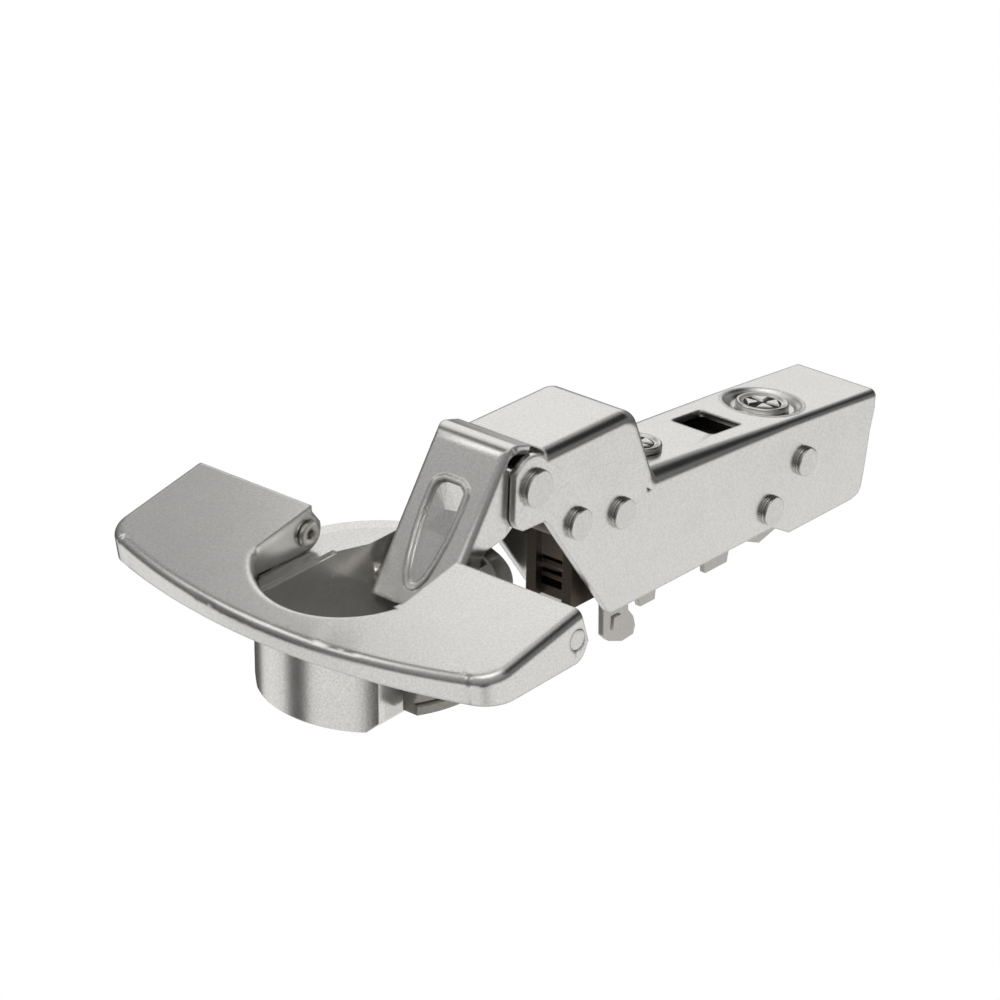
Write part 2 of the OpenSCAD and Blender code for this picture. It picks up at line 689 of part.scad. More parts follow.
module arm_housing() color("#c4c4c2") difference() {
  union() {
    in_arm() difference() {
      union() {
        side_plate(-arm_half, arm_half) arm_walls();
        arm_top_skin();
      }
      side_plate(-arm_in, arm_in) arm_inside();
    }
    on_top(depth_cam_x) translate([0, 0, -dish_depth - arm_t]) cylinder(r = dish_d / 2, h = dish_depth + arm_t - 0.3);
  }
  // Dish and hole of the depth cam
  on_top(depth_cam_x) rotate_extrude() polygon([
    [0, -5], [cam_shank_r + run_fit, -5], [cam_shank_r + run_fit, -dish_depth],
    [cam_r + 0.35, -dish_depth], [dish_d / 2, 0], [dish_d / 2 + 1, 1], [0, 1]
  ]);
  // Hole of the side adjusting screw and the window behind it
  on_top(side_screw_x) translate([0, 0, -5]) cylinder(r = screw_neck_r + run_fit, h = 10);
  on_top(50.85) for (s = [-1, 1]) {
    translate([-3.85, -3.2, -4]) cube([7.7, 6.4, 8]);
    translate([-3.05, -4, -4]) cube([6.1, 8, 8]);
    for (t = [-1, 1]) translate([s * 3.05, t * 3.2, -4]) cylinder(r = 0.8, h = 8);
  }
  in_arm() for (p = [[0, 0], rivet_b, rivet_c, rivet_latch_at, rivet_bracket_at])
    cross_pin(p, rivet_r, -arm_half - 1, arm_half + 1);
}

// A rivet through the arm with two flat heads
module arm_rivet(p, head_r) {
  in_arm() {
    cross_pin(p, rivet_r, -arm_half - 0.3, arm_half + 0.3);
    for (s = [0, 1]) mirror([0, s, 0]) {
      cross_pin(p, head_r, arm_half, arm_half + 0.4);
      cross_pin(p, head_r - 0.3, arm_half + 0.2, arm_half + 0.8);
      cross_pin(p, head_r - 0.1, arm_half + 0.55, arm_half + 0.9);
    }
  }
}

module rivet_outer_link() color("#b4b2ae") arm_rivet([0, 0], 2.9);

module rivet_inner_link() color("#b4b2ae") arm_rivet(rivet_b, 2.45);

module rivet_spring() color("#b4b2ae") arm_rivet(rivet_c, 2.45);

module rivet_latch() color("#b4b2ae") arm_rivet(rivet_latch_at, 2.4);

module rivet_bracket() color("#b4b2ae") arm_rivet(rivet_bracket_at, 2.4);

// U-shaped cage that holds the closing spring on its rivet
cage_half = 4.3;
cage_t = 0.9;

module spring_cage() color("#5a554e") in_arm() difference() {
  side_plate(-cage_half, cage_half) polygon([[13.6, -12], [15.4, -6.2], [23.4, -6.2], [24.8, -10], [22, -25.6], [13.6, -25.6]]);
  side_plate(-cage_half + cage_t, cage_half - cage_t) difference() {
    polygon([[15.1, -7.2], [40, -7.2], [40, -40], [22 - cage_t, -40], [22 - cage_t, -24.7], [15.1, -24.7]]);
    for (z = [-20.6, -22.7, -24.8]) translate([14.9, z]) square([1.2, 0.8]);
  }
  side_plate(-cage_half + 2 * cage_t, cage_half - 2 * cage_t) polygon([
    [10, -7.2], [15.2, -7.2], [15.2, -26], [10, -26]
  ]);
  cross_pin(rivet_c, rivet_r + run_fit, -arm_half, arm_half);
}

// Torsion spring on the spring rivet: close turns and two straight legs
wire_r = 0.6;
coil_r = 2.6;
turns = 5;

module closing_spring() color("#7d7a74") in_arm() {
  half = cage_half - cage_t - side_gap;
  pitch = (2 * half - 2 * wire_r) / (turns - 1);
  for (i = [0 : turns - 1])
    translate([rivet_c[0], -half + wire_r + i * pitch, rivet_c[1]]) rotate([90, 0, 0])
      rotate_extrude() translate([coil_r, 0]) circle(r = wire_r + 0.2);
}

// The adjusting gear and the clip base, in the arm's frame
// Depths below the arm's top surface of the two webs under it
clip_web_d = 3.2;
bracket_web_d = clip_web_d + clip_t + 0.25;
cam_gap = 0.2;
cam_pin_r = 1.1;
screw_neck_r = 3.1;
screw_head_r = side_screw_d / 2;
screw_shank_r = 1.8;
function under(x, d) = [x, arm_top(x) - d];

// Base bracket: a U of sheet that turns on the bracket rivet
module base_bracket() color("#99968f") difference() {
  in_arm() difference() {
    side_plate(-bracket_half, bracket_half) polygon([
      under(28.4, bracket_web_d), under(74, bracket_web_d), [74, -24], [72, -26], [30, -26], [28.4, -22]
    ]);
    side_plate(-bracket_half + bracket_t, bracket_half - bracket_t) polygon([
      [20, -40], under(20, bracket_web_d + bracket_t), under(80, bracket_web_d + bracket_t), [80, -40]
    ]);
    cross_pin(rivet_bracket_at, rivet_r + run_fit, -arm_half, arm_half);
    cross_pin(rivet_latch_at, rivet_r + 0.5, -arm_half, arm_half);
  }
  on_top(side_screw_x) translate([0, 0, -10]) cylinder(r = screw_shank_r + 0.3, h = 10);
  on_top(depth_cam_x) translate([0, 0, -10]) cylinder(r = cam_shank_r + 0.4, h = 10);
}

// Clip base: side plates with the front hooks and tabs, joined by a web over the bracket
module clip_side() {
  polygon([
    under(27.6, clip_web_d), under(75.6, clip_web_d), [75.6, -27], [64, -27], [61.6, -28.2], [57, -29.3], [52, -27.2],
    [49.3, -27.2], [48.8, -29.6], [43.3, -29.6], [43, -27.2],
    [31.2, -27.2], [31, -29.4], [27.4, -29.4], [27, -28], [24.5, -27.8], [24.6, -28.9], [25.9, -30.4],
    [26.4, -32], [26, -33.4], [23.3, -33.6], [20.1, -32.4], [18.7, -31.1],
    [18.5, -26], [20, -24.4], [25, -22]
  ]);
}

module clip_base() color("#aaa8a3") difference() {
  in_arm() difference() {
    union() {
      side_plate(-clip_half, clip_half) clip_side();
      // Half-sheared stops on the outside of the two front hooks
      translate([20.7, -clip_half - 0.3, -30.9]) cube([1.7, clip_w + 0.6, 2.3]);
    }
    side_plate(-clip_half + clip_t, clip_half - clip_t) polygon([
      [10, -50], under(10, clip_web_d + clip_t), under(90, clip_web_d + clip_t), [90, -50]
    ]);
    for (p = [rivet_bracket_at, rivet_latch_at]) side_plate(-arm_half, arm_half)
      polygon(capsule(polar(p, depth_travel, 180 - top_slope), polar(p, depth_travel, -top_slope), rivet_r + 0.4));
  }
  // Long slot for the side screw, and the cross slot for the cam's eccentric pin
  on_top(side_screw_x) translate([-screw_shank_r - depth_travel - 0.4, -screw_shank_r - 0.3, -5])
    cube([2 * (screw_shank_r + depth_travel + 0.4), 2 * screw_shank_r + 0.6, 5]);
  on_top(depth_cam_x) translate([-cam_pin_r - cam_gap, -cam_throw - cam_pin_r - cam_gap, -5])
    cube([2 * (cam_pin_r + cam_gap), 2 * (cam_throw + cam_pin_r + cam_gap), 5]);
}

// Side adjusting screw: a grooved head held in the arm's top and a thread in the bracket
module side_screw() color("#a09d96") on_top(side_screw_x) difference() {
  union() {
    translate([0, 0, 0.1]) cylinder(r = screw_head_r, h = 0.6);
    translate([0, 0, -arm_t - 0.2]) cylinder(r = screw_neck_r, h = arm_t + 0.4);
    translate([0, 0, -arm_t - 0.9]) cylinder(r = screw_head_r, h = 0.8);
    translate([0, 0, -7]) cylinder(r = screw_shank_r, h = 6);
  }
  translate([0, 0, 0.7]) cross_recess(5.8, 1.5, 1.3);
}

// Depth adjusting cam: a head in the dish, a shank through the arm and an eccentric pin
module depth_cam() color("#8d8a83") on_top(depth_cam_x) difference() {
  union() {
    translate([0, 0, -dish_depth + 0.05]) cylinder(r = cam_r, h = 0.8);
    translate([0, 0, -clip_web_d + 0.15]) cylinder(r = cam_shank_r, h = clip_web_d - dish_depth);
    translate([0, cam_throw, -clip_web_d - clip_t]) cylinder(r = cam_pin_r, h = clip_t + 1);
  }
  translate([0, 0, -dish_depth + 0.85]) cross_recess(5.8, 1.3, 1.4);
}

// Release latch between the sides of the clip base, turning on the latch rivet
latch_half = 3.0;

module release_latch() color("#a3a09a") in_arm() difference() {
  side_plate(-latch_half, latch_half) polygon([
    [54, -21], [58, -20], [62, -21.4], [80, -23.6], [82.6, -25.4], [82.4, -28.6], [80.6, -28.8], [79.4, -26.6],
    [63, -25.4], [59.6, -27], [56.5, -28.6], [54.6, -30], [53.4, -28]
  ]);
  cross_pin(rivet_latch_at, rivet_r + run_fit, -arm_half, arm_half);
}

// One turn of spring wire beside the latch
module latch_spring() in_arm() translate([rivet_latch_at[0], latch_half + 0.65, rivet_latch_at[1]])
  rotate([90, 0, 0]) rotate_extrude() translate([2.2, 0]) circle(r = 0.35);

module latch_spring_left() color("#7d7a74") latch_spring();

module latch_spring_right() color("#7d7a74") mirror([0, 1, 0]) latch_spring();

cup_body();
cover();
cover_axle_left();
cover_axle_right();
clamp_jaw_left();
clamp_jaw_right();
outer_link();
inner_link();
outer_link_pin_left();
outer_link_pin_right();
inner_link_pin();
arm_housing();
rivet_outer_link();
rivet_inner_link();
rivet_spring();
rivet_latch();
rivet_bracket();
spring_cage();
closing_spring();
base_bracket();
clip_base();
side_screw();
depth_cam();
release_latch();
latch_spring_left();
latch_spring_right();
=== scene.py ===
# %% [markdown]
# # A nickel-plated cup hinge on a white page
# This is the concealed hinge of a cabinet door. Its cup sits in a round boring of the door, a
# cover clamps it there, and two links join it to a cranked arm. Every large shape comes from
# the CAD frame, so this lesson gives it its finish, its small pressed details, a light tent
# and the camera of the photograph.

# %% Imports
import json
import math

import bpy
from mathutils import Matrix, Vector

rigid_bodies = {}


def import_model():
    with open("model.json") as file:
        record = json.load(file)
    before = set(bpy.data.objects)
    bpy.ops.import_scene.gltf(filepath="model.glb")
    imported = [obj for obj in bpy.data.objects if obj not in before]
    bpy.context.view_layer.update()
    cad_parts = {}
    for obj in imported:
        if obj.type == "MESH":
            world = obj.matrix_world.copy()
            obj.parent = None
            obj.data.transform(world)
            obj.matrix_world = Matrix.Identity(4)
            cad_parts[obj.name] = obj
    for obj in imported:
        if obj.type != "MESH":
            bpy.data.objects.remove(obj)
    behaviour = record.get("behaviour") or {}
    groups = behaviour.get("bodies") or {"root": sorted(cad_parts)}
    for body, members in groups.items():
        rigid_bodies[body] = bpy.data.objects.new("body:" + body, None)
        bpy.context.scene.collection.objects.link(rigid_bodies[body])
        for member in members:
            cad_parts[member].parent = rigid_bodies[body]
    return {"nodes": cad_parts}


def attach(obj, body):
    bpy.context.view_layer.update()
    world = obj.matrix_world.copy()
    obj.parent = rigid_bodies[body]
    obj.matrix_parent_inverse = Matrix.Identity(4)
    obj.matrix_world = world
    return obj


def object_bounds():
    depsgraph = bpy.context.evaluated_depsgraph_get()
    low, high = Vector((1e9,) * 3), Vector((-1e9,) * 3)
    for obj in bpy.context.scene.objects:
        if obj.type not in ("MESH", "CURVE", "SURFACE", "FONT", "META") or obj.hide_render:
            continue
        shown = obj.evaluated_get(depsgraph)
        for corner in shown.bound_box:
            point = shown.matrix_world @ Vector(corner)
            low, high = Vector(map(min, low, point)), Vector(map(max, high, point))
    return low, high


# %% [markdown]
# ## The imported frame
# The frame holds one mesh for each piece of the hinge, already in its place. The pieces could
# be modelled here again, but they would soon drift from the solids that the joints move. So
# they are loaded, and nothing below changes where they are.

# %% Load the frame
for old in list(bpy.data.objects):
    bpy.data.objects.remove(old)
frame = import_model()
nodes = frame["nodes"]
start_box = [[round(c, 6) for c in v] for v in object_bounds()]
print("nodes:", len(nodes), "box:", start_box)

# %% [markdown]
# ## Helpers for materials
# A finish is a few colours and a few nodes. A colour picker shows a colour as a hex code, but
# Blender reckons in linear light, so one function turns the one into the other. Nodes could be
# placed by hand in the editor, but a script is easier to read and to change. So a second
# function adds a node with its settings and the links that come into it.

# %% Colour and node helpers
def linear(hex_code):
    """Linear light of a colour that is written as an sRGB hex code."""
    out = []
    for start in (0, 2, 4):
        level = int(hex_code[start:start + 2], 16) / 255
        out.append(level / 12.92 if level <= 0.04045 else ((level + 0.055) / 1.055) ** 2.4)
    return (*out, 1.0)


def add(tree, kind, links=None, sockets=None, **settings):
    """Adds a node with its settings, the values of more sockets and the links that come in."""
    node = tree.nodes.new(kind)
    # A setting goes into the socket of that name, or else it is a property of the node
    for key, value in settings.items():
        if key in node.inputs:
            node.inputs[key].default_value = value
        else:
            setattr(node, key, value)
    for key, value in (sockets or {}).items():
        node.inputs[key].default_value = value
    for key, source in (links or {}).items():
        tree.links.new(source, node.inputs[key])
    return node


print("white is", linear("FFFFFF"))

# %% [markdown]
# ## Satin metal
# Nearly every piece is steel or zinc under a thin plate of nickel. The parts were tumbled
# before they were plated, which left tiny dents, so reflections turn soft and grainy and the
# tone wanders from speck to speck. The grain could be an image, but an image has to be
# unwrapped onto every folded sheet. Noise in the object's own coordinates needs no unwrapping,
# and it stays put when the hinge folds.

# %% Sizes of the grain
# Real dents are about half as wide, which is too fine to show in the render
GRAIN_MM = 0.3125
# The polish changes slowly, over a few millimetres of a face
CLOUD_MM = 6.25
DENT_DEPTH = 0.00002
# Noise rarely leaves this range, so it is stretched to the full swing of tone
TONE_FROM = (0.3, 0.7)
POLISH_SWING = 0.03
# Radii in metres over which the light runs smoothly round an edge
SHEET_FOLD = 0.0006
CRISP_FOLD = 0.0002
FACET_FOLD = 0.00005
print("grain:", GRAIN_MM, "mm, clouds:", CLOUD_MM, "mm")

# %% [markdown]
# ## The recipe and the nickel plate
# One recipe serves every metal here. Fine noise gives the dents and the tone, slow noise the
# polish, and a Bevel node rounds the folds off before the dents go on. Metallic is 1 and the
# IOR keeps its default. A mirror polish would have a roughness of about 0.05 and a blasted
# face about 0.5, so a satin plate starts between them. A node group could be shared as well,
# but a function lets every finish have its own values. Its first use is the plated sheet.

# %% The satin metal recipe
def satin_metal(name, hex_code, roughness, grain=0.12, speckle=0.07, fold=CRISP_FOLD):
    """Metal with fine dents, a speckled tone and a polish that comes and goes."""
    mat = bpy.data.materials.new(name)
    mat.use_nodes = True
    tree = mat.node_tree
    tree.nodes.clear()
    place = add(tree, "ShaderNodeTexCoord").outputs["Object"]
    fine = add(
        tree, "ShaderNodeTexNoise", {"Vector": place},
        Scale=1000 / GRAIN_MM, Detail=1.0, Roughness=0.7,
    )
    cloud = add(
        tree, "ShaderNodeTexNoise", {"Vector": place},
        Scale=1000 / CLOUD_MM, Detail=2.0,
    )
    tone_range = {
        "From Min": TONE_FROM[0], "From Max": TONE_FROM[1],
        "To Min": 1 - speckle, "To Max": 1 + speckle,
    }
    tone = add(tree, "ShaderNodeMapRange", {"Value": fine.outputs["Fac"]}, tone_range)
    tint = add(
        tree, "ShaderNodeVectorMath", {"Scale": tone.outputs["Result"]}, {0: linear(hex_code)[:3]},
        operation="SCALE",
    )
    rough_range = {"To Min": roughness - POLISH_SWING, "To Max": roughness + POLISH_SWING}
    rough = add(tree, "ShaderNodeMapRange", {"Value": cloud.outputs["Fac"]}, rough_range)
    rounded = add(tree, "ShaderNodeBevel", Radius=fold, samples=4)
    dents = add(
        tree, "ShaderNodeBump", {"Height": fine.outputs["Fac"], "Normal": rounded.outputs["Normal"]},
        Strength=grain, Distance=DENT_DEPTH,
    )
    surface = {
        "Base Color": tint.outputs["Vector"],
        "Roughness": rough.outputs["Result"],
        "Normal": dents.outputs["Normal"],
    }
    bsdf = add(tree, "ShaderNodeBsdfPrincipled", surface, Metallic=1.0)
    add(tree, "ShaderNodeOutputMaterial", {"Surface": bsdf.outputs["BSDF"]})
    return mat


# Rolled sheet under nickel is a warm grey mirror, blurred by its satin grain
NICKEL = satin_metal("Satin nickel plate", "DCDBD8", 0.26, fold=SHEET_FOLD)
print("nodes in the plate:", len(NICKEL.node_tree.nodes))

# %% [markdown]
# ## The finishes of the hinge
# A real hinge is plated as loose parts before it is riveted together, so each kind of part
# keeps a grey of its own: rolled sheet, a zinc casting, struck rivet heads. The jaws and the
# steel deep inside the hinge are darker as painted shade. One grey for all would be quicker,
# but the eye tells the parts apart by these small steps.

# %% Finishes
# The same sheet where the die struck it keeps sharp facets and a little more shine
PRESSED = satin_metal("Satin nickel plate in the shield", "DCDBD8", 0.22, fold=FACET_FOLD)
# A zinc casting has a pitted skin, so the same plate glitters more coarsely
CAST = satin_metal("Nickel-plated casting", "DEDCD8", 0.25, grain=0.25, speckle=0.10)
# Painted shade: the jaws lie under the cover, so their casting is a darker grey, and rougher
JAW_CAST_IN_SHADE = satin_metal("Jaw casting painted dark for its shade", "97948E", 0.34, grain=0.4, speckle=0.12)
# A rivet's head is struck smooth, so it shines a little more than the sheet round it
RIVET = satin_metal("Nickel-plated rivet steel", "D4D2CE", 0.24)
# The sheets inside the arm get a darker, duller grey than the outer sheet
INNER = satin_metal("Nickel plate inside the arm", "BDBAB4", 0.32)
# Painted shade: the inner link and the spring cage lie deep in the arm, so they are a grainy dark
# brown
DARK = satin_metal("Dark steel painted for the shade inside the hinge", "5A5248", 0.42, grain=0.6, speckle=0.15)
# Painted shade: a screw's recess lies in deep shade, so a near-black brown is painted there
SHADE = satin_metal("Painted shade in the recess", "2B2622", 0.55)
# Wire is drawn smooth through its die
SPRING = satin_metal("Drawn spring wire", "B4B1AA", 0.28)
print("finishes:", len(bpy.data.materials))

# %% [markdown]
# ## The pocket of the cup
# The links fold into the pocket of the cup. Its walls keep the skin of the mould under the
# plate, so they look greyer than the outside. The cup is one casting, so a second material
# would need its faces sorted. A mask by distance from the cup's axis does it in the same
# material: inside the pocket the surface is a little less metal.

# %% The pocket in the casting
POCKET_RADIUS = 0.0166
POCKET_METAL = 0.75
cast_tree = CAST.node_tree
place = cast_tree.nodes["Texture Coordinate"].outputs["Object"]
flat = add(
    cast_tree, "ShaderNodeVectorMath", {0: place}, {1: (1, 1, 0)},
    operation="MULTIPLY",
)
reach = add(cast_tree, "ShaderNodeVectorMath", {0: flat.outputs["Vector"]}, operation="LENGTH")
inside = add(
    cast_tree, "ShaderNodeMath", {0: reach.outputs["Value"]}, {1: POCKET_RADIUS},
    operation="LESS_THAN",
)
metal_range = {"To Min": 1.0, "To Max": POCKET_METAL}
metal = add(cast_tree, "ShaderNodeMapRange", {"Value": inside.outputs["Value"]}, metal_range)
plate = cast_tree.nodes["Principled BSDF"]
cast_tree.links.new(metal.outputs["Result"], plate.inputs["Metallic"])
print("pocket radius:", POCKET_RADIUS)

# %% [markdown]
# ## Who wears what
# Each piece is made in one go, so it has one finish all over. The list below reads like a
# parts list, with the finish first, so that a change of plating is a change of one line.

# %% Put the finishes on
PAINT = {
    NICKEL: ["cover", "outer_link", "arm_housing"],
    CAST: ["cup_body"],
    # The jaws' darker grey is painted shade
    JAW_CAST_IN_SHADE: ["clamp_jaw_left", "clamp_jaw_right"],
    RIVET: [
        "cover_axle_left", "cover_axle_right", "outer_link_pin_left", "outer_link_pin_right",
        "inner_link_pin", "rivet_outer_link", "rivet_inner_link", "rivet_spring",
        "rivet_latch", "rivet_bracket", "side_screw", "depth_cam",
    ],
    INNER: ["base_bracket", "clip_base", "release_latch"],
    # The dark brown of the inner link and the spring cage is painted shade
    DARK: ["inner_link", "spring_cage"],
    SPRING: ["closing_spring", "latch_spring_left", "latch_spring_right"],
}
for mat, names in PAINT.items():
    for name in names:
        nodes[name].data.materials.clear()
        nodes[name].data.materials.append(mat)
print("painted:", sum(len(names) for names in PAINT.values()))

# %% [markdown]
# ## Edges
# No pressed or cast edge is a knife edge: each has a small radius that catches a line of
# light. The solids could carry it, but hundreds of tiny fillets would slow every check. A
# bevel modifier adds it to the look alone. Weighted normals then keep the flat faces flat
# right up to their rounded edges.

# %% Bevels and shading
BOLD_EDGES = ("cover", "outer_link", "arm_housing", "cup_body")
BOLD_WIDTH = 0.00018
FINE_WIDTH = 0.00012
SLIVER = 0.00001
for name, obj in nodes.items():
    for poly in obj.data.polygons:
        poly.use_smooth = True
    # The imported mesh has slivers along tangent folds: points this close become one
    weld = obj.modifiers.new("Weld", "WELD")
    weld.merge_threshold = SLIVER
    bevel = obj.modifiers.new("Edge", "BEVEL")
    bevel.width = BOLD_WIDTH if name in BOLD_EDGES else FINE_WIDTH
    bevel.segments = 2
    bevel.limit_method = "ANGLE"
    bevel.angle_limit = math.radians(35)
    normals = obj.modifiers.new("Face weight", "WEIGHTED_NORMAL")
    normals.weight = 100
    normals.keep_sharp = False
print("bevelled:", len(nodes))

# %% [markdown]
# ## The pressed shield
# The outer link is stiffened by a shield-shaped hollow with a raised rim. The rim and the
# hollow are in the solid. The die also left shallow facets on the floor of the hollow, which
# only show as changes of tone. They could be a bump map, but real facets turn the reflection
# of a whole face at once. So they are a small mesh laid on that floor.

# %% Facets in the shield
WEB_FOOT = Vector((0.0053, 0, -0.0050))
WEB_TOP = Vector((0.0193, 0, 0.0146))
FLOOR = -0.00031           # just above the floor of the hollow
CREST = -0.00012           # where the upper and lower facets meet
SILL_RISE = 0.00004
# Distance up the web and half width of the shield, in millimetres, from its point to its top
EDGE = [
    (3.7, 0.1), (4.3, 0.8), (5.3, 1.3), (7.2, 1.85), (10.8, 2.45),
    (14.4, 2.7), (17.1, 2.65), (17.9, 2.2), (18.6, 1.2),
]
along_web = (WEB_TOP - WEB_FOOT).normalized()
out_of_web = Vector((-along_web.z, 0, along_web.x))
left_side = [(s, y, FLOOR) for s, y in EDGE]
right_side = [(s, -y, FLOOR) for s, y in reversed(EDGE)]
crest_line = [(14.84, -0.47, CREST), (15.1, -2.4, CREST)]
sill_line = [(11.4, 1.5, FLOOR + SILL_RISE), (11.2, -1.7, FLOOR + SILL_RISE)]
points = [
    WEB_FOOT + along_web * s / 1000 + Vector((0, y / 1000, 0)) + out_of_web * h
    for s, y, h in left_side + right_side + crest_line + sill_line
]
CREST_L, CREST_R, SILL_L, SILL_R = range(2 * len(EDGE), 2 * len(EDGE) + 4)


def fan(first, last, tip):
    """Triangles from each edge between two points of the outline to one inner point."""
    return [(k, k + 1, tip) for k in range(first, last)]


faces = fan(0, 4, SILL_L) + [(4, 5, CREST_L), (4, CREST_L, SILL_L)]
faces += fan(5, 8, CREST_L) + [(8, 9, CREST_R, CREST_L)]
faces += fan(9, 12, CREST_R) + [(12, 13, CREST_R), (13, SILL_R, CREST_R)]
faces += fan(13, 17, SILL_R) + [(17, 0, SILL_L, SILL_R), (CREST_L, CREST_R, SILL_R, SILL_L)]
mesh = bpy.data.meshes.new("shield_facets")
mesh.from_pydata(points, [], faces)
mesh.materials.append(PRESSED)
shield = bpy.data.objects.new("shield_facets", mesh)
bpy.context.scene.collection.objects.link(shield)
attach(shield, "outer_link")
print("facets:", len(faces))

# %% [markdown]
# ## Laying a detail on the arm
# The arm's rear top slopes, and the screws stand square on it. Their details could be built
# at the origin and turned into place, but then a change of slope would leave them behind.
# Here each detail is written as distances along the arm, across it and up from it, round a
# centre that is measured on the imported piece.

# %% Directions of the arm's top
TOP_TILT = math.radians(7.0)
ARM_UP = Vector((math.sin(TOP_TILT), 0, math.cos(TOP_TILT)))
ARM_ALONG = Vector((ARM_UP.z, 0, -ARM_UP.x))
ACROSS = Vector((0, 1, 0))
RIM_DEPTH = 0.00005


def top_centre(node):
    """Centre of the highest face of a head that stands square on the arm's rear top."""
    spots = [nodes[node].matrix_world @ v.co for v in nodes[node].data.vertices]
    height = max(p.dot(ARM_UP) for p in spots)
    rim = [p for p in spots if p.dot(ARM_UP) > height - RIM_DEPTH]
    along = [p.dot(ARM_ALONG) for p in rim]
    side = [p.y for p in rim]
    middle = ARM_ALONG * (min(along) + max(along)) / 2 + ACROSS * (min(side) + max(side)) / 2
    return ARM_UP * height + middle


print("cam's top:", [round(c, 5) for c in top_centre("depth_cam")])

# %% [markdown]
# ## Round and flat details
# Most details on a screw head are round, so a short profile is turned about the centre, as on
# a lathe. The rest are a few flat faces. Blender's own cylinders could be scaled into place,
# but a list of millimetres says the shape exactly and is easy to check against the part.

# %% Turn and lay
def lay(name, centre, shapes, faces, mat, body, slot, smooth=True):
    """Makes a mesh from (along, across, up) points in millimetres round a centre."""
    spots = [centre + (ARM_ALONG * a + ACROSS * b + ARM_UP * c) / 1000 for a, b, c in shapes]
    data = bpy.data.meshes.new(name)
    data.from_pydata(spots, [], faces)
    for poly in data.polygons:
        poly.use_smooth = smooth
    data.materials.append(mat)
    piece = bpy.data.objects.new(name, data)
    bpy.context.scene.collection.objects.link(piece)
    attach(piece, body)


def turned(profile, steps=64):
    """Points and faces of a profile of (radius, height) turned round the centre."""
    spots = []
    for k in range(steps):
        angle = math.tau * k / steps
        spots += [(r * math.cos(angle), r * math.sin(angle), h) for r, h in profile]
    m = len(profile)
    quads = []
    for k in range(steps):
        here, there = k * m, (k + 1) % steps * m
        quads += [(here + i, there + i, there + i + 1, here + i + 1) for i in range(m - 1)]
    return spots, quads


print("faces of a plain turned ring:", len(turned([(2, 0), (1, 0)])[1]))

# %% [markdown]
# ## Screw heads
# Both adjusting screws have a raised ring round a lobed recess, which the driver fills. The
# solids have a plain cross. Cutting the lobes into them with a boolean would be one way, but
# it would change a checked mesh. So a ring, a dark disc of painted shade and four petals
# between the arms of the recess are laid on each head, and they turn with it.

# %% Rings, recesses and petals
RING_RADIUS = {"depth_cam": 4.15, "side_screw": 3.85}
PETAL_TURN = {"depth_cam": 0, "side_screw": 20}


def ring_profile(radius):
    """Section of the raised ring, from the edge of the head inward."""
    return [
        (radius, 0.0), (radius - 0.05, 0.25), (radius - 0.25, 0.38),
        (radius - 0.5, 0.36), (radius - 0.75, 0.15), (radius - 1.2, 0.05),
    ]


def petals(radius, turn):
    """Four blunt wedges between the arms of the recess."""
    # Radius, half angle and height of each pair of corners: two pairs on top, then two at the foot
    corners = [
        (0.8, 0.25, 0.26), (radius - 1.45, 0.46, 0.30),
        (0.6, 0.45, 0.03), (radius - 1.25, 0.54, 0.03),
    ]
    spots, leaves = [], []
    for quarter in range(4):
        middle = math.radians(45 + 90 * quarter + turn)
        a, b, c, d, e, f, g, h = range(len(spots), len(spots) + 8)
        for r, half, height in corners:
            for swing in (-half, half):
                spots.append((r * math.cos(middle + swing), r * math.sin(middle + swing), height))
        leaves += [(a, c, d, b), (e, g, c, a), (g, h, d, c), (h, f, b, d), (f, e, a, b)]
    return spots, leaves


for node, radius in RING_RADIUS.items():
    centre = top_centre(node)
    disc = turned([(radius - 1.1, 0.06), (0.0, 0.03)])
    leaves = petals(radius, PETAL_TURN[node])
    lay(node + "_ring", centre, *turned(ring_profile(radius)), RIVET, node, "rivet_steel")
    # The dark disc in each recess is painted shade
    lay(node + "_recess", centre, *disc, SHADE, node, "dark_steel")
    lay(node + "_petals", centre, *leaves, RIVET, node, "rivet_steel", smooth=False)
print("heads:", len(RING_RADIUS))

# %% [markdown]
# ## The step in the dish
# The dish round the cam was drawn in two strokes, which left a lip at its edge and a step
# half way down. The solid has a plain cone there, because the step carries nothing. It could
# be painted on as a dark ring, but its edge has to catch the light from every side. So it is
# a thin turned ring that lies in the dish.

# %% Lip and step
CAM_BELOW_TOP = 0.00015    # the cam's head stands this far below the arm's top
STEP = [
    (6.75, -0.01), (6.6, 0.09), (6.35, 0.10), (6.15, -0.03),
    (5.95, -0.28), (5.45, -0.34), (5.25, -0.55), (4.95, -0.79),
]
dish_at = top_centre("depth_cam") + ARM_UP * CAM_BELOW_TOP
lay("dish_step", dish_at, *turned(STEP, 96), NICKEL, "arm", "nickel_sheet")
print("step:", STEP[0][0], "to", STEP[-1][0], "mm from the cam's axis")

# %% [markdown]
# ## Camera
# The picture was taken with a long lens from a good half metre away, which keeps the edges of
# the arm nearly parallel. A camera placed by eye never quite fits, so its three angles and its
# place were solved from the round cup and the straight edges, and written down here.

